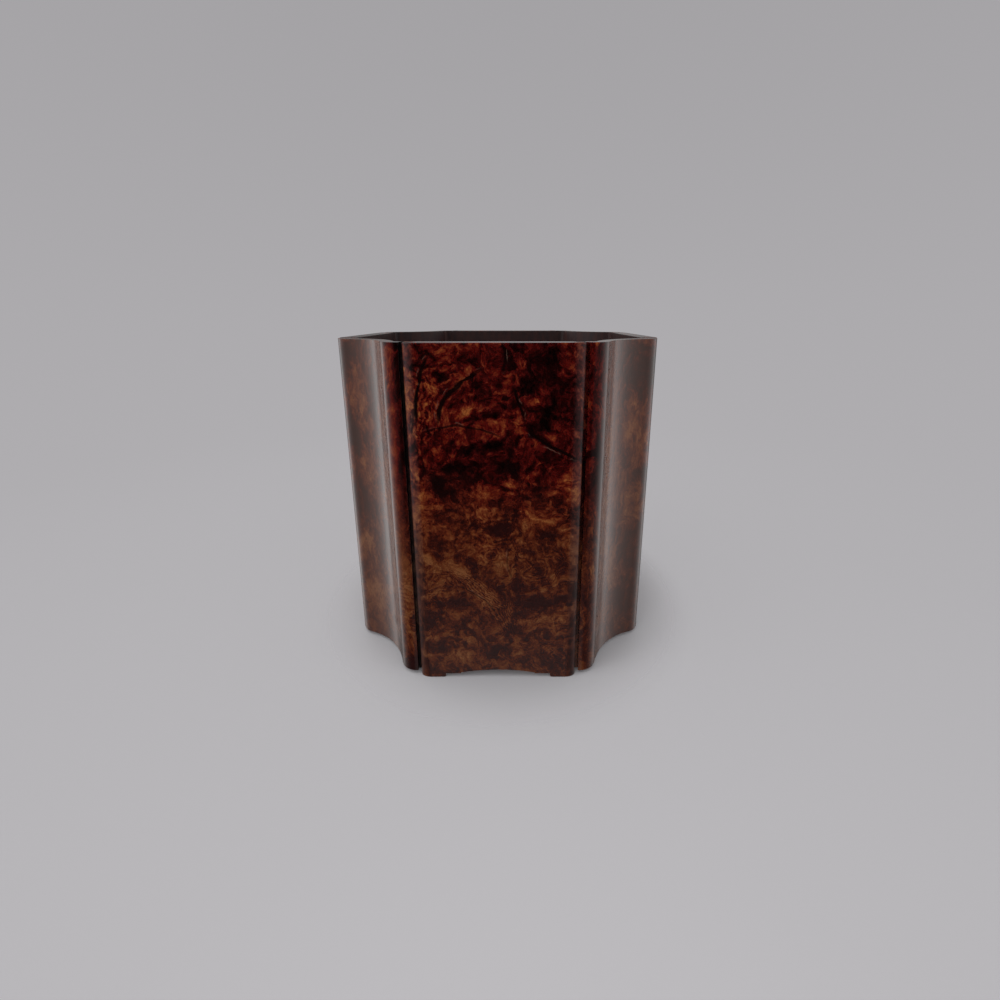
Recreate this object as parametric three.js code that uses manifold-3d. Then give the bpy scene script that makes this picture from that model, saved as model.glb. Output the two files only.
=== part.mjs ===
// A square brush pot in burlwood: four upright face panels joined by four corner staves, each hollowed into a
// shallow cove, round a floor board. Loose tongues lie in the joints between panels and staves, and the floor
// board's edge tongues run in grooves across the panels. Units are millimetres, +Z is up, the front panel faces
// -Y, and the origin is on the table under the pot's centre.
import * as THREE from 'three';
import { mergeVertices } from 'three/addons/utils/BufferGeometryUtils.js';
import Module from 'manifold-3d';

const wasm = await Module();
wasm.setup();

// Pot and panels
const potHeight = 130;
const potWidth = 128;             // from panel face to opposite panel face
const panelWidth = 61;
const panelProud = 1.8;           // the panel's face stands this far in front of the staves
const panelEdgeRoundWidth = 4;    // soft rounding of a panel's long edges, measured across its face
const panelEdgeRoundDepth = 2.4;  // the same rounding, measured into its thickness

// Feet and apron cut into each panel's lower edge
const footWidth = 10;
const footHeight = 1.6;
const footRound = 0.9;            // rounding of the feet's lower corners
const cuspWidth = 6;              // low step between a foot and the arch
const cuspHeight = 0.4;           // how far that step lies above the foot's shoulder
const archRise = 1.3;             // the arch's height above the step, at mid-panel

// Corner staves
const staveWall = 4.6;
const staveLift = 1.5;            // their lower ends stay this far off the table
const noseFlat = 0.8;             // flat strip between the quirk and the nose
const noseRadius = 7;             // convex nose on each long edge of a stave
const coveRadius = 28;            // hollow between the two noses
const quirkWidth = 1;             // narrow sunk line where stave meets panel
const quirkDepth = 1.5;

// Floor board
const floorUnderside = 8;
const floorThickness = 6;
const edgeTongueThickness = 3;
const edgeTongueReach = 2.5;      // how far its edge tongues enter the panels
const edgeTongueSetIn = 3;        // each edge tongue stops this far short of the panel's ends

// Loose tongues in the upright joints
const tongueThickness = 1.4;
const tongueReach = 3;            // into the panel, and the same into the stave
const tongueBelowRim = 12;        // the tongue's top end stays hidden by this much
const tongueAboveFloor = 5;       // above the floor board's upper face

// Clearances
const glueGap = 0.2;              // between a panel's edge and a stave's edge
const slotGap = 0.15;             // round each tongue in its groove
const floorGap = 0.3;             // between the floor board and the walls

const arcSteps = 8;

// Values worked out from the ones above
const half = potWidth / 2;
const panelHalf = panelWidth / 2;
const staveFace = half - panelProud;
const innerFace = staveFace - staveWall;
const staveEdge = panelHalf + glueGap;
const stripEdge = staveEdge + quirkWidth;
const noseX = stripEdge + noseFlat;
const noseY = staveFace - noseRadius;
const coveReach = coveRadius + noseRadius;
const coveCentre = (noseX + noseY) / 2 + Math.sqrt(coveReach ** 2 / 2 - ((noseY - noseX) / 2) ** 2);
const noseTurn = Math.atan2(coveCentre - noseY, coveCentre - noseX);
const jointMiddle = (innerFace + staveFace - quirkDepth) / 2;
const tongueLow = floorUnderside + floorThickness + tongueAboveFloor;
const tongueHigh = potHeight - tongueBelowRim;

function upright(shape, low, high) {
  const geometry = new THREE.ExtrudeGeometry(shape, { depth: high - low, bevelEnabled: false, curveSegments: arcSteps });
  geometry.translate(0, 0, low);
  return geometry;
}

function block(x0, x1, y0, y1, z0, z1) {
  const geometry = new THREE.BoxGeometry(x1 - x0, y1 - y0, z1 - z0);
  geometry.translate((x0 + x1) / 2, (y0 + y1) / 2, (z0 + z1) / 2);
  return geometry;
}

// A closed geometry as a solid that can be joined and cut
function solid(geometry) {
  const bare = geometry.index ? geometry.toNonIndexed() : geometry.clone();
  bare.deleteAttribute('normal');
  bare.deleteAttribute('uv');
  const merged = mergeVertices(bare, 1e-5);
  return new wasm.Manifold(new wasm.Mesh({
    numProp: 3,
    vertProperties: new Float32Array(merged.attributes.position.array),
    triVerts: new Uint32Array(merged.index.array),
  }));
}

function geometryOf(body) {
  const mesh = body.getMesh();
  const geometry = new THREE.BufferGeometry();
  geometry.setAttribute('position', new THREE.BufferAttribute(new Float32Array(mesh.vertProperties), 3));
  geometry.setIndex(new THREE.BufferAttribute(new Uint32Array(mesh.triVerts), 1));
  geometry.computeVertexNormals();
  return geometry;
}

// Face panel. All four are alike, and this one faces +Y.
function panelSection() {
  const shape = new THREE.Shape();
  const flat = panelHalf - panelEdgeRoundWidth;
  const edge = half - panelEdgeRoundDepth;
  shape.moveTo(-panelHalf, innerFace);
  shape.lineTo(panelHalf, innerFace);
  shape.lineTo(panelHalf, edge);
  shape.absellipse(flat, edge, panelEdgeRoundWidth, panelEdgeRoundDepth, 0, Math.PI / 2, false);
  shape.lineTo(-flat, half);
  shape.absellipse(-flat, edge, panelEdgeRoundWidth, panelEdgeRoundDepth, Math.PI / 2, Math.PI, false);
  shape.closePath();
  return shape;
}

// The waste between a panel's two feet, drawn across the panel with its height as the second axis
function apronWaste() {
  const inFoot = panelHalf - footWidth;
  const inCusp = inFoot - cuspWidth;
  const step = footHeight + cuspHeight;
  const chord = inCusp;
  const archRadius = (chord ** 2 + archRise ** 2) / (2 * archRise);
  const archTurn = Math.asin(chord / archRadius);
  const shape = new THREE.Shape();
  shape.moveTo(-inFoot - footRound, 0);
  shape.absarc(-inFoot - footRound, footRound, footRound, -Math.PI / 2, 0, false);
  shape.lineTo(-inFoot, footHeight);
  shape.lineTo(-inCusp, footHeight);
  shape.lineTo(-inCusp, step);
  shape.absarc(0, step + archRise - archRadius, archRadius, Math.PI / 2 + archTurn, Math.PI / 2 - archTurn, true);
  shape.lineTo(inCusp, footHeight);
  shape.lineTo(inFoot, footHeight);
  shape.lineTo(inFoot, footRound);
  shape.absarc(inFoot + footRound, footRound, footRound, Math.PI, Math.PI * 1.5, false);
  shape.lineTo(inFoot + footRound, -potHeight / 10);
  shape.lineTo(-inFoot - footRound, -potHeight / 10);
  shape.closePath();
  const geometry = new THREE.ExtrudeGeometry(shape, { depth: potWidth, bevelEnabled: false, curveSegments: arcSteps });
  geometry.rotateX(Math.PI / 2);
  geometry.translate(0, potWidth, 0);
  return geometry;
}

function facePanel() {
  let body = solid(upright(panelSection(), 0, potHeight)).subtract(solid(apronWaste()));
  const grooveTop = floorUnderside + edgeTongueThickness + floorGap;
  body = body.subtract(solid(block(
    -panelWidth, panelWidth, innerFace - staveWall, innerFace + edgeTongueReach + floorGap,
    floorUnderside - floorGap, grooveTop)));
  for (const side of [-1, 1]) {
    const inner = side * (panelHalf - tongueReach - slotGap);
    const outer = side * (panelHalf + tongueReach);
    body = body.subtract(solid(block(
      Math.min(inner, outer), Math.max(inner, outer),
      jointMiddle - tongueThickness / 2 - slotGap, jointMiddle + tongueThickness / 2 + slotGap,
      tongueLow - slotGap, tongueHigh + slotGap)));
  }
  return geometryOf(body);
}

// Corner stave between the panel that faces +Y and the one that faces +X
function staveSection() {
  const shape = new THREE.Shape();
  const quirkFloor = staveFace - quirkDepth;
  const mirrorTurn = Math.PI / 2 - noseTurn;
  shape.moveTo(staveEdge, innerFace);
  shape.absarc(noseX, noseY, noseRadius - staveWall, Math.PI / 2, noseTurn, true);
  shape.absarc(coveCentre, coveCentre, coveRadius + staveWall, noseTurn + Math.PI, mirrorTurn + Math.PI, false);
  shape.absarc(noseY, noseX, noseRadius - staveWall, mirrorTurn, 0, true);
  shape.lineTo(innerFace, staveEdge);
  shape.lineTo(quirkFloor, staveEdge);
  shape.lineTo(quirkFloor, stripEdge);
  shape.lineTo(staveFace, stripEdge);
  shape.absarc(noseY, noseX, noseRadius, 0, mirrorTurn, false);
  shape.absarc(coveCentre, coveCentre, coveRadius, mirrorTurn + Math.PI, noseTurn + Math.PI, true);
  shape.absarc(noseX, noseY, noseRadius, noseTurn, Math.PI / 2, false);
  shape.lineTo(stripEdge, staveFace);
  shape.lineTo(stripEdge, quirkFloor);
  shape.lineTo(staveEdge, quirkFloor);
  shape.closePath();
  return shape;
}

function cornerStave() {
  let body = solid(upright(staveSection(), staveLift, potHeight));
  const nearFace = jointMiddle - tongueThickness / 2 - slotGap;
  const farFace = jointMiddle + tongueThickness / 2 + slotGap;
  const start = staveEdge - tongueReach;
  const end = staveEdge + tongueReach + slotGap;
  const low = tongueLow - slotGap;
  const high = tongueHigh + slotGap;
  body = body.subtract(solid(block(start, end, nearFace, farFace, low, high)));
  body = body.subtract(solid(block(nearFace, farFace, start, end, low, high)));
  return geometryOf(body);
}

// Loose tongue in the joint at the +X edge of the panel that faces +Y
function looseTongue() {
  return block(
    panelHalf - tongueReach, staveEdge + tongueReach,
    jointMiddle - tongueThickness / 2, jointMiddle + tongueThickness / 2,
    tongueLow, tongueHigh);
}

// Floor board: it fills the walls' inner outline, and an edge tongue on each side enters a panel
function floorSection() {
  const shape = new THREE.Shape();
  const wall = innerFace - floorGap;
  const noseInner = noseRadius - staveWall - floorGap;
  const coveInner = coveRadius + staveWall + floorGap;
  for (let turn = 0; turn < 4; turn += 1) {
    const a = turn * Math.PI / 2;
    const spin = (x, y) => [x * Math.cos(a) - y * Math.sin(a), x * Math.sin(a) + y * Math.cos(a)];
    const mirrorTurn = Math.PI / 2 - noseTurn;
    if (turn === 0) {
      shape.moveTo(...spin(wall, -noseX));
    }
    shape.lineTo(...spin(wall, noseX));
    shape.absarc(...spin(noseY, noseX), noseInner, a, a + mirrorTurn, false);
    shape.absarc(...spin(coveCentre, coveCentre), coveInner, a + mirrorTurn + Math.PI, a + noseTurn + Math.PI, true);
    shape.absarc(...spin(noseX, noseY), noseInner, a + noseTurn, a + Math.PI / 2, false);
  }
  shape.closePath();
  return shape;
}

function floorBoard() {
  const reach = innerFace + edgeTongueReach;
  const length = panelHalf - edgeTongueSetIn;
  const high = floorUnderside + edgeTongueThickness;
  const body = solid(upright(floorSection(), floorUnderside, floorUnderside + floorThickness))
    .add(solid(block(-length, length, -reach, reach, floorUnderside, high)))
    .add(solid(block(-reach, reach, -length, length, floorUnderside, high)));
  return geometryOf(body);
}

// Woods, as rubbed and waxed
const burl = () => new THREE.MeshStandardMaterial({ color: 0x5a2a12, roughness: 0.28, metalness: 0 });
const plainWood = () => new THREE.MeshStandardMaterial({ color: 0x3a2014, roughness: 0.5, metalness: 0 });
const tongueWood = () => new THREE.MeshStandardMaterial({ color: 0xa9824e, roughness: 0.7, metalness: 0 });

function named(name, geometry, material) {
  const mesh = new THREE.Mesh(geometry, material);
  mesh.name = name;
  return mesh;
}

const brushPot = new THREE.Group();
const sides = ['back', 'left', 'front', 'right'];
const panelGeometry = facePanel();
const staveGeometry = cornerStave();
const tongueGeometry = looseTongue();
const mirroredTongue = tongueGeometry.clone().translate(-2 * panelHalf - glueGap, 0, 0);

sides.forEach((side, turn) => {
  const next = sides[(turn + 3) % sides.length];
  const before = sides[(turn + 1) % sides.length];
  const quarter = new THREE.Group();
  quarter.rotation.z = turn * Math.PI / 2;
  quarter.add(named(`${side}_panel`, panelGeometry, burl()));
  quarter.add(named(`corner_stave_${side}_${next}`, staveGeometry, burl()));
  quarter.add(named(`loose_tongue_${side}_to_${next}`, tongueGeometry, tongueWood()));
  quarter.add(named(`loose_tongue_${side}_to_${before}`, mirroredTongue, tongueWood()));
  brushPot.add(quarter);
});
brushPot.add(named('floor_board', floorBoard(), plainWood()));

export default brushPot;
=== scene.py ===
"""A square brush pot in burlwood: four flat face panels joined by four hollowed corner staves."""

import math

import bmesh
import bpy
from mathutils import Matrix, Vector


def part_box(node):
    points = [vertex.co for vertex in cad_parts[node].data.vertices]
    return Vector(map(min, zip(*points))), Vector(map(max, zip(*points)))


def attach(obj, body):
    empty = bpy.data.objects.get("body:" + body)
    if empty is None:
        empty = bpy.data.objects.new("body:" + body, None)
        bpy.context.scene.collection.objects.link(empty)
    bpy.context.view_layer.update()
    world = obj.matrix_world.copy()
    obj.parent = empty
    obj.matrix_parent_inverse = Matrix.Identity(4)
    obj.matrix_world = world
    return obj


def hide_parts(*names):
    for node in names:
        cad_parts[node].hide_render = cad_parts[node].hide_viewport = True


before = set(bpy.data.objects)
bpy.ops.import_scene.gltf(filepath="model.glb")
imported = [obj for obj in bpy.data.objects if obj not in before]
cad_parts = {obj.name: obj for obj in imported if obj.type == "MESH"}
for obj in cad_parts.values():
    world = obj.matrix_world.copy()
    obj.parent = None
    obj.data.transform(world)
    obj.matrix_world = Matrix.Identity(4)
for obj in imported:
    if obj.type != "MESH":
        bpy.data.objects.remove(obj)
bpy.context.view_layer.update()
scene = bpy.context.scene


# Viewpoint: a near camera with a wide lens, held just above the rim and pitched a little down, so that
# the upright walls seem to narrow towards the foot.
eye_place = (0.00755, -0.2140, 0.13835)
pitch_down = 14.34

viewpoint = bpy.data.objects.new("viewpoint", bpy.data.cameras.new("viewpoint"))
viewpoint.location = eye_place
viewpoint.rotation_euler = (math.radians(90 - pitch_down), 0, 0)
viewpoint.data.sensor_width = 36
viewpoint.data.lens = 16.343
viewpoint.data.shift_x = -0.0171
viewpoint.data.shift_y = -0.0680
viewpoint.data.clip_start = 0.01
scene.collection.objects.link(viewpoint)
scene.camera = viewpoint
scene.view_settings.view_transform = "Standard"


# Studio: a pale grey table that fades into a pale grey backdrop, lit by soft lamps above, left and right.
# Polished wood mirrors a room that is dark behind the camera and pale at the sides, so the front shows its
# own colour and the hollow corners shine.
def feed(tree, made, inputs):
    """Gives each input a value, or joins it to another node's output."""
    for socket, value in inputs.items():
        if isinstance(value, bpy.types.NodeSocket):
            tree.links.new(value, made.inputs[socket])
        else:
            made.inputs[socket].default_value = value


def node(tree, kind, inputs=None, **settings):
    made = tree.nodes.new("ShaderNode" + kind)
    for setting, value in settings.items():
        setattr(made, setting, value)
    feed(tree, made, inputs or {})
    return made


def maths(tree, operation, *terms):
    return node(tree, "Math", dict(enumerate(terms)), operation=operation).outputs[0]


def vectors(tree, operation, *terms):
    made = node(tree, "VectorMath", dict(enumerate(terms)), operation=operation)
    return made.outputs["Value" if operation in ("LENGTH", "DOT_PRODUCT") else "Vector"]


def parts_of(tree, vector):
    """The X, Y and Z of a vector."""
    return node(tree, "SeparateXYZ", {0: vector}).outputs


def ease(tree, value, start, end, low=0.0, high=1.0):
    """Eases from low to high while value goes from start to end."""
    inputs = {"Value": value, "From Min": start, "From Max": end, "To Min": low, "To Max": high}
    return node(tree, "MapRange", inputs, interpolation_type="SMOOTHSTEP").outputs[0]


def mix(tree, share, first, second, blend="MIX"):
    made = node(tree, "Mix", {0: share, 6: first, 7: second}, data_type="RGBA", blend_type=blend)
    return made.outputs[2]


def ramp(tree, value, stops, tint=(1, 1, 1)):
    """Tones along a value, from (value, tone) stops of which the first is at 0 and the last at 1."""
    made = node(tree, "ValToRGB", {0: value})
    elements = made.color_ramp.elements
    for place, _ in stops[1:-1]:
        elements.new(place)
    for element, (_, tone) in zip(elements, stops):
        element.color = [tone * part for part in tint] + [1]
    return made.outputs[0]


def cleared_material(name):
    """A material without nodes, and its node tree."""
    material = bpy.data.materials.new(name)
    material.use_nodes = True
    material.node_tree.nodes.clear()
    return material, material.node_tree


# The backdrop's tones run from low to high, and the room's from behind the camera (0) to behind the pot (1).
backdrop_low, backdrop_high = -0.95, 0.5
backdrop_tones = ((0.0, 0.515), (0.103, 0.485), (0.372, 0.440), (0.659, 0.415), (1.0, 0.370))
backdrop_tint = (1.0, 0.975, 1.012)
left_room = (
    (0.0, 0.0005), (0.028, 0.0005), (0.06, 0.03), (0.18, 0.05), (0.30, 0.10), (0.50, 0.27), (0.62, 0.50),
    (0.72, 0.76), (0.78, 0.62), (0.83, 0.24), (0.90, 0.13), (0.975, 0.10), (1.0, 0.24))
right_room = (
    (0.0, 0.0005), (0.028, 0.0005), (0.06, 0.05), (0.18, 0.08), (0.30, 0.14), (0.50, 0.33), (0.62, 0.50),
    (0.72, 0.58), (0.78, 0.46), (0.83, 0.20), (0.90, 0.12), (0.975, 0.10), (1.0, 0.24))
sides_blend = 0.02
room_brightness = 2.0
ambient = (0.80, 0.80, 0.80, 1)

# The room is dimmer low down and at the ceiling. Low down in front it shows the table.
low_slope, low_dimming = (-0.42, -0.66), 0.42
ceiling_slope, ceiling_dimming = (0.5, 0.85), 0.3
table_slope, front_slope = (-0.48, -0.72), (0.06, 0.015)
mirrored_table = (0.30, 0.29, 0.285, 1)

world = bpy.data.worlds.new("studio")
scene.world = world
world.use_nodes = True
world.cycles.sampling_method = "NONE"
air = world.node_tree
air.nodes.clear()
way = node(air, "TexCoord").outputs["Generated"]
way_x, _, way_z = parts_of(air, way)
rise = node(air, "MapRange", {"Value": way_z, "From Min": backdrop_low, "From Max": backdrop_high}).outputs[0]
backdrop = ramp(air, rise, backdrop_tones, backdrop_tint)

level_way = vectors(air, "NORMALIZE", vectors(air, "MULTIPLY", way, (1, 1, 0)))
behind = maths(air, "MULTIPLY_ADD", parts_of(air, level_way)[1], 0.5, 0.5)
on_right = ease(air, way_x, -sides_blend, sides_blend)
room = mix(air, on_right, ramp(air, behind, left_room), ramp(air, behind, right_room))
brightness = maths(air, "MULTIPLY", ease(air, way_z, *low_slope, 1, low_dimming), room_brightness)
brightness = maths(air, "MULTIPLY", brightness, ease(air, way_z, *ceiling_slope, 1, ceiling_dimming))
room = node(air, "VectorMath", {0: room, "Scale": brightness}, operation="SCALE").outputs[0]
low_front = maths(air, "MULTIPLY", ease(air, way_z, *table_slope), ease(air, behind, *front_slope))
room = mix(air, low_front, room, mirrored_table)

ray = node(air, "LightPath").outputs
seen = mix(air, ray["Is Glossy Ray"], ambient, room)
seen = mix(air, maths(air, "MAXIMUM", ray["Is Camera Ray"], ray["Is Transmission Ray"]), seen, backdrop)
sky = node(air, "Background", {"Color": seen})
node(air, "OutputWorld", {"Surface": sky.outputs[0]})

# Close to the pot the table takes its shadow. Further out it clears, and the backdrop shows in its place.
table_reach = 1.5
table_colour = (0.475, 0.465, 0.482, 1)
near_slope, far_slope = (0.066, 0.098), (0.12, 0.48)
clear_beside_pot, clear_around_pot = 0.05, 0.84

table_mesh = bmesh.new()
bmesh.ops.create_circle(table_mesh, cap_ends=True, segments=96, radius=table_reach)
table_data = bpy.data.meshes.new("table")
table_mesh.to_mesh(table_data)
table_mesh.free()
table = bpy.data.objects.new("table", table_data)
scene.collection.objects.link(table)
table_finish, tree = cleared_material("pale table")
away = vectors(tree, "LENGTH", node(tree, "TexCoord").outputs["Object"])
cleared = ease(tree, away, *near_slope, clear_beside_pot, clear_around_pot)
cleared = maths(tree, "ADD", cleared, ease(tree, away, *far_slope, 0, 1 - clear_around_pot))
cleared = maths(tree, "MAXIMUM", cleared, node(tree, "LightPath").outputs["Is Glossy Ray"])
flat = node(tree, "BsdfDiffuse", {"Color": table_colour}).outputs[0]
clear = node(tree, "BsdfTransparent").outputs[0]
blended = node(tree, "MixShader", {0: cleared, 1: flat, 2: clear})
node(tree, "OutputMaterial", {"Surface": blended.outputs[0]})
table.data.materials.append(table_finish)

lamp_aim = Vector((0, 0, 0.05))
for name, place, size, power in (
    ("overhead_lamp", (-0.32, -0.12, 0.90), 0.85, 2.3), ("left_lamp", (-0.80, -0.35, 0.45), 0.50, 1.5),
    ("right_lamp", (0.80, -0.25, 0.45), 0.50, 0.4),
):
    lamp = bpy.data.objects.new(name, bpy.data.lights.new(name, "AREA"))
    lamp.data.shape = "DISK"
    lamp.data.size = size
    lamp.data.energy = power
    lamp.location = place
    lamp.rotation_euler = (lamp_aim - lamp.location).to_track_quat("-Z", "Y").to_euler()
    scene.collection.objects.link(lamp)


# Face panels: four boards of burl, sawn flat, with softly rounded long edges and a low arch with two small
# feet cut into the lower edge. They stand a little proud of the corner staves that they are glued between.
mm = 0.001
tiny = 1e-6
panel_low, panel_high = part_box("front_panel")
pot_height = panel_high.z
panel_half = panel_high.x
panel_face = -panel_low.y
panel_back = -panel_high.y
edge_round_width = 4 * mm
edge_round_depth = 2.4 * mm
foot_width = 10 * mm
foot_height = 1.6 * mm
foot_round = 0.9 * mm
cusp_width = 6 * mm
cusp_height = 0.4 * mm
arch_rise = 1.3 * mm
rim_ease = 0.5 * mm
foot_ease = 0.3 * mm
crease_turn = 0.6
arch_steps, foot_round_steps, edge_steps, rim_steps, foot_steps = 20, 6, 12, 4, 3


def run_to(mesh, vert, *place):
    """A straight edge from vert to a new point."""
    end = mesh.verts.new(place)
    mesh.edges.new((vert, end))
    return end


def sweep_to(mesh, vert, centre, axis, angle, steps):
    """An arc of edges from vert, turned about an axis through centre."""
    arc = bmesh.ops.spin(mesh, geom=[vert], cent=centre, axis=axis, angle=angle, steps=steps)
    return arc["geom_last"][0]


def fill_outline(mesh):
    bmesh.ops.remove_doubles(mesh, verts=mesh.verts, dist=tiny)
    return bmesh.ops.contextual_create(mesh, geom=mesh.edges[:])["faces"][0]


def extrude(mesh, face, *reach):
    grown = bmesh.ops.extrude_face_region(mesh, geom=[face])["geom"]
    bmesh.ops.translate(mesh, vec=reach, verts=[v for v in grown if isinstance(v, bmesh.types.BMVert)])
    bmesh.ops.recalc_face_normals(mesh, faces=mesh.faces)


def round_over(mesh, edges, width, steps):
    return bmesh.ops.bevel(
        mesh, geom=edges, offset=width, offset_type="OFFSET", segments=steps, profile=0.5, affect="EDGES",
        material=-1, clamp_overlap=True)


def panel_mesh(turn):
    """One face panel, made facing -Y and then turned to its side."""
    mesh = bmesh.new()
    in_foot = panel_half - foot_width
    in_cusp = in_foot - cusp_width
    step = foot_height + cusp_height
    arch_radius = (in_cusp ** 2 + arch_rise ** 2) / (2 * arch_rise)
    arch_turn = math.asin(in_cusp / arch_radius)
    crown = step + arch_rise
    foot_centre = (in_foot + foot_round, -panel_back, foot_round)
    at = mesh.verts.new((0, -panel_back, crown))
    at = sweep_to(mesh, at, (0, -panel_back, crown - arch_radius), (0, 1, 0), arch_turn, arch_steps)
    at = run_to(mesh, at, in_cusp, -panel_back, foot_height)
    at = run_to(mesh, at, in_foot, -panel_back, foot_height)
    at = run_to(mesh, at, in_foot, -panel_back, foot_round)
    at = sweep_to(mesh, at, foot_centre, (0, 1, 0), -math.pi / 2, foot_round_steps)
    at = run_to(mesh, at, panel_half, -panel_back, 0)
    at = run_to(mesh, at, panel_half, -panel_back, pot_height)
    run_to(mesh, at, 0, -panel_back, pot_height)
    bmesh.ops.mirror(mesh, geom=mesh.verts[:] + mesh.edges[:], axis="X", merge_dist=tiny)
    extrude(mesh, fill_outline(mesh), 0, panel_back - panel_face, 0)

    long_edges = [
        e for e in mesh.edges
        if all(abs(abs(v.co.x) - panel_half) < tiny and v.co.y < tiny - panel_face for v in e.verts)]
    rounded = round_over(mesh, long_edges, edge_round_depth, edge_steps)
    for side in (-1, 1):
        outer = [v for v in rounded["verts"] if v.co.x * side > 0]
        bmesh.ops.scale(
            mesh, verts=outer, vec=(edge_round_width / edge_round_depth, 1, 1),
            space=Matrix.Translation((-side * panel_half, 0, 0)))

    def rim(e):
        return all(v.co.z > pot_height - tiny for v in e.verts)

    def joint(e):
        return all(abs(abs(v.co.x) - panel_half) < tiny for v in e.verts)

    def low_crease(e):
        return (
            all(v.co.z < crown + tiny and v.co.y < -panel_back - tiny for v in e.verts)
            and len(e.link_faces) == 2 and e.calc_face_angle() > crease_turn
            and abs(e.verts[0].co.y - e.verts[1].co.y) < edge_round_depth / 2)

    round_over(mesh, [e for e in mesh.edges if rim(e) and not joint(e)], rim_ease, rim_steps)
    round_over(mesh, [e for e in mesh.edges if low_crease(e) and not joint(e)], foot_ease, foot_steps)
    bmesh.ops.rotate(mesh, verts=mesh.verts, cent=(0, 0, 0), matrix=Matrix.Rotation(turn, 3, "Z"))
    return mesh


def effect(name, takes, gives):
    """A node group with its named inputs and outputs."""
    tree = bpy.data.node_groups.new(name, "ShaderNodeTree")
    for socket, kind in takes.items():
        tree.interface.new_socket(socket, in_out="INPUT", socket_type="NodeSocket" + kind)
    for socket, kind in gives.items():
        tree.interface.new_socket(socket, in_out="OUTPUT", socket_type="NodeSocket" + kind)
    return tree, tree.nodes.new("NodeGroupInput").outputs, tree.nodes.new("NodeGroupOutput").inputs


def use(tree, group, inputs):
    """The outputs of a node group that is given these inputs."""
    made = tree.nodes.new("ShaderNodeGroup")
    made.node_tree = group
    feed(tree, made, inputs)
    return made.outputs


def noise(tree, place, size, detail=2.0, roughness=0.5, output=0):
    """Noise whose lumps measure about size, in millimetres: a value, or with output=1 a colour."""
    inputs = {"Vector": place, "Scale": 1 / size, "Detail": detail, "Roughness": roughness}
    return node(tree, "TexNoise", inputs).outputs[output]


def drift(tree, place, size, reach):
    """place, pushed about by up to reach millimetres in lumps of size."""
    push = vectors(tree, "SUBTRACT", noise(tree, place, size, output=1), (0.5, 0.5, 0.5))
    return vectors(tree, "ADD", place, vectors(tree, "MULTIPLY", push, (reach, reach, reach)))


def between(tree, value, rising, falling):
    """1 between two slopes, each given as the values where it starts and ends, and 0 beyond them."""
    return maths(tree, "MULTIPLY", ease(tree, value, *rising), ease(tree, value, *falling))


# The grain's flow moves each place: smoothly for veins, gently for the marks that keep their place, and
# strongly for the figure between them. Patterns are laid out in millimetres.
to_millimetres = (1000, 1000, 1000)
flow, given, out = effect("grain_flow", {"Place": "Vector"}, {
    "Smooth": "Vector", "Gentle": "Vector", "Strong": "Vector"})
flow.links.new(drift(flow, given["Place"], size=11, reach=3.5), out["Smooth"])
gentle = drift(flow, drift(flow, given["Place"], size=9, reach=5), size=2.6, reach=1.8)
flow.links.new(gentle, out["Gentle"])
flow.links.new(drift(flow, gentle, size=22, reach=26), out["Strong"])


def within_patch(tree, given):
    """How far out a place lies on a patch (1 at its edge), and how far across the patch's length."""
    offset = vectors(tree, "SUBTRACT", given["Place"], given["Centre"])
    along = vectors(tree, "DOT_PRODUCT", offset, given["Long"])
    aside = vectors(tree, "DOT_PRODUCT", offset, given["Wide"])
    return vectors(tree, "LENGTH", node(tree, "CombineXYZ", {0: along, 1: aside}).outputs[0]), aside


patch_takes = {"Place": "Vector", "Centre": "Vector", "Long": "Vector", "Wide": "Vector", "Strength": "Float"}

# A soft patch, golden where its strength is above zero and dark where it is below.
patch_fade = (1.6, 0.2)
patch, given, out = effect("burl_patch", patch_takes, {"Tone": "Float"})
gap, _ = within_patch(patch, given)
patch.links.new(maths(patch, "MULTIPLY", ease(patch, gap, *patch_fade), given["Strength"]), out["Tone"])

# An eye: a dark core with a golden rim and a few rings about it.
core_tone, core_fade = -0.42, (1.35, 0.35)
ring_tone, ring_pace, ring_slopes = -0.15, 9.5, ((0.8, 1.2), (3.2, 1.3))
eye, given, out = effect("burl_eye", patch_takes, {"Tone": "Float"})
gap, _ = within_patch(eye, given)
core = maths(eye, "MULTIPLY", ease(eye, gap, *core_fade), core_tone)
rings = maths(eye, "SINE", maths(eye, "MULTIPLY", gap, ring_pace))
rings = maths(eye, "MULTIPLY", rings, between(eye, gap, *ring_slopes))
eye_marks = maths(eye, "MULTIPLY_ADD", rings, ring_tone, core)
eye.links.new(maths(eye, "MULTIPLY", eye_marks, given["Strength"]), out["Tone"])

# Fibres laid side by side, seen as fine light and dark threads that run along a patch.
thread_waver, thread_fade = 22, (1.2, 0.4)
fibres, given, out = effect("fibre_patch", {**patch_takes, "Threads": "Float"}, {"Tone": "Float"})
gap, aside = within_patch(fibres, given)
waver = noise(fibres, given["Place"], size=4, detail=3, roughness=0.65)
threads_across = maths(fibres, "MULTIPLY", aside, given["Threads"])
thread = maths(fibres, "SINE", maths(fibres, "MULTIPLY_ADD", waver, thread_waver, threads_across))
thread = maths(fibres, "MULTIPLY", thread, ease(fibres, gap, *thread_fade))
fibres.links.new(maths(fibres, "MULTIPLY", thread, given["Strength"]), out["Tone"])


def face_gap(tree, place, other):
    """How far apart two places lie, seen square to the face."""
    gap = vectors(tree, "SUBTRACT", place, other)
    return vectors(tree, "LENGTH", vectors(tree, "MULTIPLY", gap, (1, 0, 1)))


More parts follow.
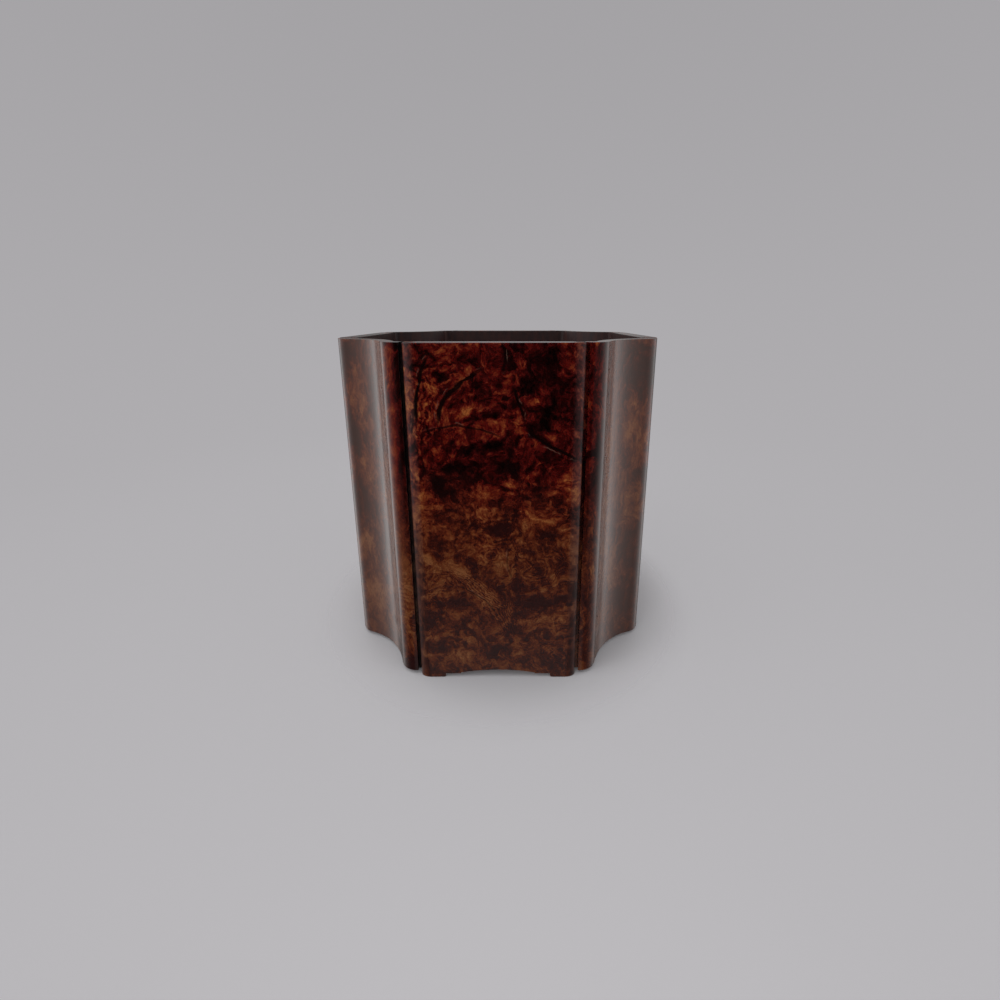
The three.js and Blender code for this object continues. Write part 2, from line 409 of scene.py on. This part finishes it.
# A vein of dark bark in a bend, with a broken pale line along its outer side.
vein_end_fade, vein_side_fade, end_width = (1.0, 0.55), (1.1, 0.4), 0.1
pale_line_out, pale_line_fade, pale_line_breaks = 1.4, (0.35, 0.05), (0.48, 0.62)
vein_takes = {
    "Place": "Vector", "Centre": "Vector", "Bend": "Float", "Middle": "Vector", "Reach": "Float",
    "Width": "Float"}
vein, given, out = effect("bark_vein", vein_takes, {"Dark": "Float", "Pale": "Float"})
aside = maths(vein, "SUBTRACT", face_gap(vein, given["Place"], given["Centre"]), given["Bend"])
along = maths(vein, "DIVIDE", face_gap(vein, given["Place"], given["Middle"]), given["Reach"])
present = ease(vein, along, *vein_end_fade)
unevenness = maths(vein, "MULTIPLY", noise(vein, given["Place"], size=3, roughness=0.6), 2)
width = maths(vein, "MULTIPLY", given["Width"], maths(vein, "ADD", present, end_width))
width = maths(vein, "MULTIPLY", unevenness, width)
dark = ease(vein, maths(vein, "DIVIDE", maths(vein, "ABSOLUTE", aside), width), *vein_side_fade)
vein.links.new(maths(vein, "MULTIPLY", dark, present), out["Dark"])
pale_gap = maths(vein, "SUBTRACT", aside, maths(vein, "MULTIPLY", width, pale_line_out))
pale = ease(vein, maths(vein, "ABSOLUTE", pale_gap), *pale_line_fade)
unbroken = ease(vein, noise(vein, given["Place"], size=4, roughness=0.6), *pale_line_breaks)
pale = maths(vein, "MULTIPLY", pale, unbroken)
vein.links.new(maths(vein, "MULTIPLY", pale, present), out["Pale"])

# Burl figure: one tone that runs from black through red to gold, with eyes, curls and fine grain in it. The
# wood is redder towards the rim. In the coves curls and redness are fainter, under a pale painted sheen that
# stands in for the coves' reflection.
upper_palette = (
    (-0.62, (0.0025, 0.0001, 0.0001, 1)), (-0.30, (0.009, 0.0001, 0.0001, 1)),
    (-0.08, (0.030, 0.0003, 0.0002, 1)), (0.10, (0.066, 0.0018, 0.0006, 1)),
    (0.29, (0.122, 0.0150, 0.0030, 1)), (0.60, (0.230, 0.0620, 0.0120, 1)))
lower_palette = (
    (-0.36, (0.019, 0.0034, 0.0030, 1)), (-0.10, (0.036, 0.0052, 0.0022, 1)),
    (0.08, (0.066, 0.0115, 0.0030, 1)), (0.26, (0.098, 0.0245, 0.0062, 1)),
    (0.55, (0.145, 0.0490, 0.0155, 1)))
redder_slope, redder_wander = (62, 108), 30
cove_slope, cove_redness, cove_curls = (35, 40), 0.25, 0.2
cove_painted_sheen, cove_sheen_share = (0.165, 0.112, 0.096, 1), 0.27
puff_size, stroke_squeeze = 2.4, (1, 1, 0.3)
fine_grain, cove_fine_grain = 0.95, 0.85
curl_pace, curl_places = 110, (0.46, 0.66)
curl_tone, red_curl_tone = 0.14, 0.03
eye_spacing, eye_share = 13, (0.62, 0.70)
small_core_tone, small_core_fade = -0.4, (1.8, 0.8)
small_ring_tone, small_ring_pace, small_ring_fade = -0.09, 4.0, (4.6, 1.4)
shade_contrast = 1.5
polish, polish_variation = 0.13, 0.10


def palette(tree, tone, stops):
    """A colour along the tone."""
    colour = stops[0][1]
    for (start, _), (end, following) in zip(stops, stops[1:]):
        colour = mix(tree, ease(tree, tone, start, end), colour, following)
    return colour


def swing(tree, tone, parts):
    """tone, with each (part, share) added to it so that the part swings about zero."""
    for part, share in parts:
        tone = maths(tree, "ADD", tone, maths(tree, "MULTIPLY_ADD", part, share, -share / 2))
    return tone


figure, given, out = effect("burl_figure", {
    "Place": "Vector", "Own": "Vector", "Gentle": "Vector", "Strong": "Vector", "Marks": "Float",
    "Calm": "Float"}, {"Colour": "Color", "Roughness": "Float", "Height": "Float"})
strong, gentle = given["Strong"], given["Gentle"]
clouds = noise(figure, strong, size=15)
lumps = noise(figure, strong, size=5, roughness=0.55)
mottle = noise(figure, gentle, size=2.0)
specks = noise(figure, gentle, size=0.7, roughness=0.6)
upright = vectors(figure, "MULTIPLY", strong, stroke_squeeze)
strokes = noise(figure, upright, size=0.9, roughness=0.6)
puffs = node(figure, "TexVoronoi", {
    "Vector": drift(figure, strong, size=1.5, reach=1.2), "Scale": 1 / puff_size, "Smoothness": 0.35,
    "Randomness": 1.0}, feature="SMOOTH_F1")
puff = parts_of(figure, puffs.outputs["Color"])[0]

own_x, own_y, _ = parts_of(figure, given["Own"])
in_cove = ease(figure, maths(figure, "MINIMUM", own_x, own_y), *cove_slope)
height = maths(figure, "MULTIPLY_ADD", clouds, redder_wander, parts_of(figure, given["Place"])[2])
redder = ease(figure, height, *redder_slope)
redder = maths(figure, "MULTIPLY", redder, ease(figure, in_cove, 0, 1, 1, cove_redness))

tone = swing(figure, 0.0, ((mottle, 1.0), (specks, 0.4), (strokes, 0.55), (puff, 0.36)))
fineness = ease(figure, in_cove, 0, 1, fine_grain, cove_fine_grain)
tone = maths(figure, "MULTIPLY_ADD", tone, fineness, given["Marks"])
tone = swing(figure, tone, ((clouds, 0.85), (lumps, 0.9)))

curl_field = noise(figure, strong, size=9, detail=1.5)
curls = maths(figure, "SINE", maths(figure, "MULTIPLY", curl_field, curl_pace))
curls = maths(figure, "MULTIPLY", curls, ease(figure, noise(figure, strong, size=13), *curl_places))
curls = maths(figure, "MULTIPLY", curls, ease(figure, in_cove, 0, 1, 1, cove_curls))
tone = maths(figure, "MULTIPLY_ADD", curls, ease(figure, redder, 0, 1, curl_tone, red_curl_tone), tone)

eyes = node(figure, "TexVoronoi", {"Vector": gentle, "Scale": 1 / eye_spacing, "Randomness": 1.0})
eye_gap = maths(figure, "MULTIPLY", eyes.outputs["Distance"], eye_spacing)
chosen = ease(figure, parts_of(figure, eyes.outputs["Color"])[0], *eye_share)
rings = maths(figure, "COSINE", maths(figure, "MULTIPLY", eye_gap, small_ring_pace))
rings = maths(figure, "MULTIPLY", rings, ease(figure, eye_gap, *small_ring_fade))
rings = maths(figure, "MULTIPLY", rings, small_ring_tone)
cores = ease(figure, eye_gap, *small_core_fade)
small_eyes = maths(figure, "MULTIPLY_ADD", cores, small_core_tone, rings)
tone = maths(figure, "MULTIPLY_ADD", small_eyes, chosen, tone)

unevenness = maths(figure, "SUBTRACT", tone, given["Marks"])
liveliness = maths(figure, "SUBTRACT", 1, given["Calm"])
tone = maths(figure, "MULTIPLY_ADD", unevenness, liveliness, given["Marks"])

colour = mix(figure, redder, palette(figure, tone, lower_palette), palette(figure, tone, upper_palette))
shade = noise(figure, gentle, size=0.5, roughness=0.6)
shade = maths(figure, "MULTIPLY_ADD", shade, shade_contrast, 1 - shade_contrast / 2)
shades = node(figure, "CombineXYZ", {0: shade, 1: shade, 2: shade}).outputs[0]
colour = mix(figure, 1.0, colour, shades, "MULTIPLY")
# A pale painted sheen over the coves, standing in for reflected light.
colour = mix(figure, maths(figure, "MULTIPLY", in_cove, cove_sheen_share), colour, cove_painted_sheen)
figure.links.new(colour, out["Colour"])
figure.links.new(maths(figure, "MULTIPLY_ADD", mottle, polish_variation, polish), out["Roughness"])
figure.links.new(tone, out["Height"])

# Painted shade darkens the sunk joint beside each panel, which is dulled as well, and handling has dulled
# the panel's long edges. The slopes say where, in millimetres from the middle of the face.
vein_black = (0.004, 0.0004, 0.0004, 1)
vein_pale = (0.16, 0.085, 0.06, 1)
deepest_vein, vein_depth_per_width, pale_line_share = 0.97, 1.6, 0.32
joint_slopes, joint_painted_shade, joint_dulling = ((30.1, 30.6), (31.9, 31.6)), 0.6, 0.45
edge_slopes, edge_dulling = ((25.8, 28.4), (31.0, 30.5)), 0.28
relief_strength, relief_depth = 0.12, 0.2 * mm


def burl(name, turn, seed, stretch=1.0, spots=(), eyes=(), threads=(), veins=(), calm=()):
    """Polished burl for a piece that is turned by turn, with lengths in millimetres.

    seed moves the figure on to another part of the tree, and stretch draws it out along the height.
    A spot is (x, z, half length, half width, lean, strength), and so are an eye and a calm place, where the
    figure is more even. Threads add their spacing.
    A vein is (x, z, bend) of its circle, (x, z, reach) of its middle, then its width.
    """
    material, tree = cleared_material(name)
    place = node(tree, "Mapping", {
        "Vector": node(tree, "TexCoord").outputs["Object"], "Scale": to_millimetres,
        "Rotation": (0, 0, -turn), "Location": (seed, 0, 0)}).outputs[0]
    own = vectors(tree, "SUBTRACT", place, (seed, 0, 0))
    moved = use(tree, flow, {"Place": place})
    tones = {"Marks": 0.0, "Calm": 0.0}
    for group, aim, marks in (
        (patch, "Marks", spots), (eye, "Marks", eyes), (fibres, "Marks", threads), (patch, "Calm", calm),
    ):
        for x, z, half_length, half_width, lean, strength, *spacing in marks:
            lean = math.radians(lean)
            inputs = {
                "Place": moved["Gentle"], "Centre": (x + seed, 0, z), "Strength": strength,
                "Long": (math.cos(lean) / half_length, 0, math.sin(lean) / half_length),
                "Wide": (-math.sin(lean) / half_width, 0, math.cos(lean) / half_width)}
            if spacing:
                inputs["Threads"] = 2 * math.pi * half_width / spacing[0]
            tones[aim] = maths(tree, "ADD", tones[aim], use(tree, group, inputs)["Tone"])
    gentle, strong = (
        vectors(tree, "MULTIPLY", moved[kind], (1, 1, 1 / stretch)) for kind in ("Gentle", "Strong"))
    look = use(tree, figure, {"Place": place, "Own": own, "Gentle": gentle, "Strong": strong, **tones})

    colour = look["Colour"]
    for x, z, bend, middle_x, middle_z, reach, width in veins:
        lines = use(tree, vein, {
            "Place": moved["Smooth"], "Centre": (x + seed, 0, z), "Bend": bend,
            "Middle": (middle_x + seed, 0, middle_z), "Reach": reach, "Width": width})
        depth = min(deepest_vein, vein_depth_per_width * width)
        colour = mix(tree, maths(tree, "MULTIPLY", lines["Dark"], depth), colour, vein_black)
        colour = mix(tree, maths(tree, "MULTIPLY", lines["Pale"], pale_line_share), colour, vein_pale)
    across = maths(tree, "ABSOLUTE", parts_of(tree, own)[0])
    in_joint = between(tree, across, *joint_slopes)
    on_edge = between(tree, across, *edge_slopes)
    # The joint's darkening is painted shade, laid on in the veins' black.
    colour = mix(tree, maths(tree, "MULTIPLY", in_joint, joint_painted_shade), colour, vein_black)
    roughness = maths(tree, "MULTIPLY_ADD", in_joint, joint_dulling, look["Roughness"])
    roughness = maths(tree, "MULTIPLY_ADD", on_edge, edge_dulling, roughness)
    bump = node(tree, "Bump", {
        "Height": look["Height"], "Strength": relief_strength, "Distance": relief_depth})
    shader = node(tree, "BsdfPrincipled", {
        "Base Color": colour, "Roughness": roughness, "IOR": 1.5, "Normal": bump.outputs[0]})
    node(tree, "OutputMaterial", {"Surface": shader.outputs[0]})
    return material


# Inside, the wood is plain, dark and hardly polished, with faint upright streaks.
inside_dark = (0.030, 0.015, 0.016, 1)
inside_light = (0.050, 0.018, 0.016, 1)
streak_length, streak_slope = 4, (0.35, 0.7)
inside_finish, tree = cleared_material("dark_inside")
place = node(tree, "Mapping", {
    "Vector": node(tree, "TexCoord").outputs["Object"], "Scale": to_millimetres}).outputs[0]
upright = vectors(tree, "MULTIPLY", place, (1, 1, 1 / streak_length))
streaks = noise(tree, upright, size=2.5, detail=3, roughness=0.6)
inner_colour = mix(tree, ease(tree, streaks, *streak_slope), inside_dark, inside_light)
shader = node(tree, "BsdfPrincipled", {"Base Color": inner_colour, "Roughness": 0.45, "IOR": 1.45})
node(tree, "OutputMaterial", {"Surface": shader.outputs[0]})


# A face that looks this squarely at the pot's middle is inside. An edge that turns further than sharp_turn
# stays sharp.
looks_inward = -0.7
sharp_turn = math.radians(40)


def finish_piece(name, mesh, material, node_name):
    """Dresses a mesh in burl, and its inside in plain wood, and puts it in place of its node."""
    for face in mesh.faces:
        outward = face.calc_center_median().xy.normalized().to_3d()
        face.material_index = int(face.normal.dot(outward) < looks_inward)
    data = bpy.data.meshes.new(name)
    mesh.to_mesh(data)
    mesh.free()
    data.shade_smooth()
    data.set_sharp_from_angle(angle=sharp_turn)
    piece = bpy.data.objects.new(name, data)
    scene.collection.objects.link(piece)
    piece.data.materials.append(material)
    piece.data.materials.append(inside_finish)
    even = piece.modifiers.new("even shading", "WEIGHTED_NORMAL")
    even.keep_sharp = True
    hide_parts(node_name)
    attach(piece, "root")


# The front panel's figure: its dark places, golden places, eyes, bundles of fibres and veins of bark.
front_dark = (
    (17.7, 125, 6, 3, 0, -0.35), (12.2, 116.8, 5.4, 3.4, 80, -0.3), (18.3, 106.6, 6, 2.7, 80, -0.32),
    (15.7, 102.8, 4, 2, -20, -0.3), (-1.4, 95.7, 4.7, 1.8, 0, -0.4), (-9.4, 93.6, 6.5, 1.4, 0, -0.3),
    (-13, 87.8, 5.4, 1.6, 5, -0.3), (4.4, 87.4, 3.4, 2, 0, -0.42), (-19.6, 80.4, 3.6, 1.8, 75, -0.5),
    (-17.0, 77.0, 3, 1.3, 10, -0.4), (-19.7, 125, 2.7, 2, 0, -0.3), (-8.2, 123.7, 2.7, 2, 0, -0.3),
    (2, 118, 3, 1.6, 80, -0.3), (25, 112, 9, 3, 90, -0.2), (0, 89, 27, 10, 0, -0.24),
    (17, 118, 12, 11, 0, -0.14), (12, 101, 5, 1.6, -60, -0.35), (-13.5, 110.5, 6, 0.9, 48, -0.25),
    (-6.5, 112, 7, 0.9, 32, -0.22), (-2, 104.8, 8, 0.9, 6, -0.25), (-17, 33, 7.8, 2.4, -3, -0.45),
    (14.7, 34.2, 3.6, 2.4, 30, -0.4), (22.2, 34.2, 4.7, 2, 10, -0.32), (-21.3, 57.1, 5.5, 3, 80, -0.3),
    (19.5, 61.1, 4, 2.4, 0, -0.3), (7.9, 40.6, 6, 2.4, 85, -0.35), (-14.3, 23.3, 3.3, 2.8, 0, -0.35),
    (-23.9, 14.3, 4.7, 2.6, 0, -0.32), (0.1, 12.5, 4.7, 2.6, 0, -0.25), (7.1, 22.4, 3.3, 2.8, 0, -0.35),
    (24.8, 51.4, 4.7, 2.2, 85, -0.28), (-10.5, 50.6, 5, 1.6, -45, -0.28))
# Among the golden places, the two long upright ones at the panel's edges are wear and a painted sheen.
front_golden = (
    (-11.5, 117, 6, 1.7, 50, 0.22), (-21.5, 114.4, 5, 2, 80, 0.2), (-19.3, 107.6, 5, 2.2, 40, 0.22),
    (-10.4, 107.2, 6, 1.8, 35, 0.25), (-3, 108.8, 8, 1.6, 15, 0.24), (4, 106.5, 5, 1.8, -20, 0.2),
    (1.3, 127.6, 3, 2, 0, 0.16), (13.9, 109.7, 4, 2.2, -20, 0.26), (18.8, 98.6, 1.8, 1.6, -35, 0.35),
    (-16.7, 98.6, 2.7, 2, 0, 0.2), (10, 83.4, 3.4, 1.2, 10, 0.22), (-4.2, 77, 6, 3, 20, 0.22),
    (5.1, 81.1, 4, 1.4, 0, 0.2), (14.7, 95, 4, 1.8, -30, 0.15), (-28.4, 92, 42, 3.6, 90, 0.27),
    (29, 98, 36, 1.5, 90, 0.13), (12.9, 66.6, 7, 5, 30, 0.18), (-6.4, 69.5, 8, 2.6, 0, 0.18),
    (-18.1, 62.7, 3, 2.4, 0, 0.14), (3.4, 47.3, 5, 3.6, -45, 0.26), (-18.3, 38.3, 7.5, 1.6, 4, 0.3),
    (-25.2, 51.4, 3.2, 2.4, 0, 0.2), (17.1, 25.1, 8, 2, 0, 0.2), (18.4, 39.8, 8, 1.1, 25, 0.25),
    (-16.3, 9.8, 4.7, 2, 30, 0.28), (-27.2, 9.8, 3, 2, 0, 0.2), (7.9, 12.5, 5, 1.8, 90, 0.25),
    (0.2, 18.9, 4, 2, 90, 0.2), (2, 6, 6, 2, 0, 0.2), (-6, 38, 15, 3.2, -46, 0.24))
front_eyes = (
    (0.7, 63.5, 5.5, 2.5, 0, 1.0), (-2, 53.5, 2.2, 1.8, 0, 0.9), (14.5, 46.9, 2.6, 2.2, 20, 0.9),
    (-17.6, 119.4, 2.4, 2.2, 0, 0.8), (20, 19, 2.4, 2, 0, 0.7))
front_threads = (
    (-6, 38, 14, 4.5, -46, 0.24, 0.9), (4, 27, 9, 6, -62, 0.20, 1.0), (-25, 106, 18, 4, 84, 0.16, 1.3),
    (-12, 45, 8, 6, -30, 0.10, 1.2), (16, 43, 9, 8, 20, 0.08, 1.1))
front_veins = (
    (4, 98, 24.1, -13.6, 113.0, 15.5, 0.85), (-12, 69.5, 32.3, -12, 101.8, 18, 0.5),
    (58, 160, 75.5, 19.5, 96, 13, 0.7), (20, 105, 46.6, -25.3, 114.5, 15, 0.7),
    (30, 98, 58, -27, 108, 14, 0.4), (-9, 124.6, 12.2, 3, 125, 6, 0.5),
    (-46.4, 85.1, 60, 8, 110.5, 8, 0.6), (-52, -12, 66, -4.5, 37.5, 12, 0.35),
    (40, 52, 36, 4.3, 50, 8, 0.3))
front_marks = {
    "spots": front_dark + front_golden, "eyes": front_eyes, "threads": front_threads, "veins": front_veins}

# The other panels have a plainer figure of their own between long edges made golden by wear and by a
# painted sheen.
edge_wear_and_sheen = ((-28.8, 80, 60, 1.8, 90, 0.15), (28.8, 80, 60, 1.8, 90, 0.15))
right_marks = {
    "spots": edge_wear_and_sheen, "threads": ((8, 40, 10, 9, 30, 0.15, 1.2),),
    "veins": ((30, 30, 60, 4, 84, 16, 0.6), (-40, 60, 34, -12, 78, 12, 0.5))}
back_marks = {
    "spots": edge_wear_and_sheen, "threads": ((-8, 62, 9, 11, 120, 0.15, 1.1),),
    "veins": ((-10, 40, 48, 6, 85, 18, 0.6), (26, 96, 22, 8, 108, 10, 0.5))}
left_marks = {
    "spots": edge_wear_and_sheen, "threads": ((6, 96, 10, 8, 160, 0.15, 1.2),),
    "veins": ((50, 80, 52, 0, 66, 15, 0.6), (-30, 120, 30, -10, 97, 12, 0.5))}
for side, turn, seed, marks in (
    ("front", 0, 0, front_marks), ("right", 90, 310, right_marks), ("back", 180, 620, back_marks),
    ("left", 270, 930, left_marks),
):
    angle = math.radians(turn)
    finish_piece(
        f"{side}_panel_burl", panel_mesh(angle), burl(f"burl_{side}", angle, seed, **marks), f"{side}_panel")


# Corner staves: thicker burl worked to a hollow cove between two rounded noses, with a narrow sunk line where
# each stave meets its panels. Their ends stop just short of the table.
stave_low, stave_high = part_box("corner_stave_back_right")
stave_face = stave_high.x
stave_lift = stave_low.z
glue_line = 0.05 * mm
stave_edge = panel_half + glue_line
quirk_width = 1 * mm
quirk_edge = stave_low.x + quirk_width
quirk_depth = 1.5 * mm
nose_flat = 0.8 * mm
nose_radius = 7 * mm
cove_radius = 28 * mm
stave_ease = 0.4 * mm
nose_steps, inner_nose_steps, cove_steps, stave_ease_steps = 20, 16, 24, 4
stave_stretch = 2.2


def stave_mesh(turn):
    """One corner stave, flush with the panels inside, made at the +X +Y corner and then turned to its own."""
    mesh = bmesh.new()
    nose_x = quirk_edge + nose_flat
    nose_y = stave_face - nose_radius
    reach = cove_radius + nose_radius
    cove = (nose_x + nose_y) / 2 + math.sqrt(reach ** 2 / 2 - ((nose_y - nose_x) / 2) ** 2)
    nose_turn = math.atan2(cove - nose_y, cove - nose_x)
    middle = cove - cove_radius / math.sqrt(2)
    z = stave_lift
    upright = (0, 0, 1)
    at = mesh.verts.new((middle, middle, z))
    at = sweep_to(mesh, at, (cove, cove, z), upright, nose_turn - math.pi / 4, cove_steps)
    at = sweep_to(mesh, at, (nose_x, nose_y, z), upright, math.pi / 2 - nose_turn, nose_steps)
    at = run_to(mesh, at, quirk_edge, stave_face, z)
    at = run_to(mesh, at, quirk_edge, stave_face - quirk_depth, z)
    at = run_to(mesh, at, stave_edge, stave_face - quirk_depth, z)
    at = run_to(mesh, at, stave_edge, panel_back, z)
    at = run_to(mesh, at, nose_x, panel_back, z)
    at = sweep_to(mesh, at, (nose_x, nose_y, z), upright, nose_turn - math.pi / 2, inner_nose_steps)
    sweep_to(mesh, at, (cove, cove, z), upright, math.pi / 4 - nose_turn, cove_steps)
    bmesh.ops.mirror(
        mesh, geom=mesh.verts[:] + mesh.edges[:], axis="X", merge_dist=tiny,
        matrix=Matrix.Rotation(math.radians(45), 4, "Z"))
    extrude(mesh, fill_outline(mesh), 0, 0, pot_height - stave_lift)

    def end(e):
        flat = abs(e.verts[0].co.z - e.verts[1].co.z) < tiny
        near_joint = any(min(v.co.x, v.co.y) < stave_edge + tiny for v in e.verts)
        in_quirk = all(
            min(v.co.x, v.co.y) < quirk_edge + tiny and max(v.co.x, v.co.y) < stave_face - tiny
            for v in e.verts)
        return flat and not near_joint and not in_quirk

    round_over(mesh, [e for e in mesh.edges if end(e)], stave_ease, stave_ease_steps)
    bmesh.ops.rotate(mesh, verts=mesh.verts, cent=(0, 0, 0), matrix=Matrix.Rotation(turn, 3, "Z"))
    return mesh


# The front left stave has an even, orange nose beside the panel, and both front staves have dark and golden
# places all the way down their coves.
front_left_marks = {
    "spots": (
        (34, 4, 8, 6, 0, -0.35), (32.4, 104, 34, 1.9, 90, -0.32), (35.8, 72, 60, 2.6, 90, 0.21),
        (34, 34, 18, 3, 90, 0.22), (41.2, 66, 70, 2.0, 90, 0.35), (54.5, 28, 24, 5, 90, 0.35),
        (58, 124, 6, 5, 90, -0.30), (54, 112, 7, 5, 90, 0.25), (57, 92, 9, 4, 90, -0.35),
        (52, 100, 6, 4, 90, 0.2), (57, 66, 10, 4, 90, -0.32), (52, 78, 10, 4, 90, 0.25),
        (56, 46, 5, 5, 90, 0.28), (55, 34, 5, 5, 90, -0.3), (57, 16, 8, 4, 90, -0.2),
        (52, 24, 6, 5, 90, 0.2)),
    "threads": ((34, 30, 8, 16, 0, 0.14, 2.0),),
    "calm": ((35.2, 74, 62, 2.6, 90, 0.65),)}
right_front_marks = {"spots": (
    (53, 66, 70, 4.5, 90, 0.2), (62, 33, 10, 3, 0, -0.1), (62, 112, 20, 5, 90, 0.12),
    (62, 84, 12, 4, 90, -0.15), (40, 118, 9, 6, 90, -0.35), (42, 95, 14, 5, 90, 0.3),
    (50, 80, 18, 5, 90, 0.25), (40, 64, 8, 4, 90, 0.25), (39, 44, 10, 4, 90, -0.25),
    (46, 38, 9, 4, 90, 0.28), (41, 20, 9, 5, 90, -0.3))}
for corner, turn, seed, marks in (
    ("right_front", -90, 1300, right_front_marks), ("back_right", 0, 1600, {}), ("left_back", 90, 1900, {}),
    ("front_left", 180, 2200, front_left_marks),
):
    angle = math.radians(turn)
    finish = burl(f"burl_{corner}", angle, seed, stave_stretch, **marks)
    finish_piece(f"corner_stave_{corner}_burl", stave_mesh(angle), finish, f"corner_stave_{corner}")


# Floor board: a plain dark board that closes the pot, its edge tongues housed in grooves across the panels.
# It is finished with oil only, so it stays dull.
floor_light = (0.085, 0.027, 0.013, 1)
floor_dark = (0.038, 0.012, 0.007, 1)
floor_band = 2.5
changes_along_metre = 60
band_slope = (0.35, 0.65)
plain_roughness, plain_relief = 0.65, 0.3


def plain_wood(name, light, dark, band):
    """Straight-grained wood whose bands measure about band millimetres across the board."""
    material, tree = cleared_material(name)
    grain = node(tree, "Mapping", {
        "Vector": node(tree, "TexCoord").outputs["Object"],
        "Scale": (changes_along_metre, 1000 / band, 1000 / band)})
    bands = noise(tree, grain.outputs[0], size=1, detail=4, roughness=0.6)
    colour = mix(tree, ease(tree, bands, *band_slope), dark, light)
    bump = node(tree, "Bump", {"Height": bands, "Strength": plain_relief, "Distance": relief_depth})
    shader = node(tree, "BsdfPrincipled", {
        "Base Color": colour, "Roughness": plain_roughness, "Normal": bump.outputs[0]})
    node(tree, "OutputMaterial", {"Surface": shader.outputs[0]})
    return material


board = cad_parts["floor_board"]
board.data.materials.clear()
board.data.materials.append(plain_wood("floor_wood", floor_light, floor_dark, floor_band))


# Loose tongues: slips of pale hardwood glued into the upright joints between panels and staves. They are
# hidden in the walls and left bare.
tongue_light = (0.42, 0.25, 0.11, 1)
tongue_dark = (0.28, 0.15, 0.06, 1)
tongue_band = 1.2

tongue_wood = plain_wood("tongue_wood", tongue_light, tongue_dark, tongue_band)
for name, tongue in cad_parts.items():
    if name.startswith("loose_tongue"):
        tongue.data.materials.clear()
        tongue.data.materials.append(tongue_wood)
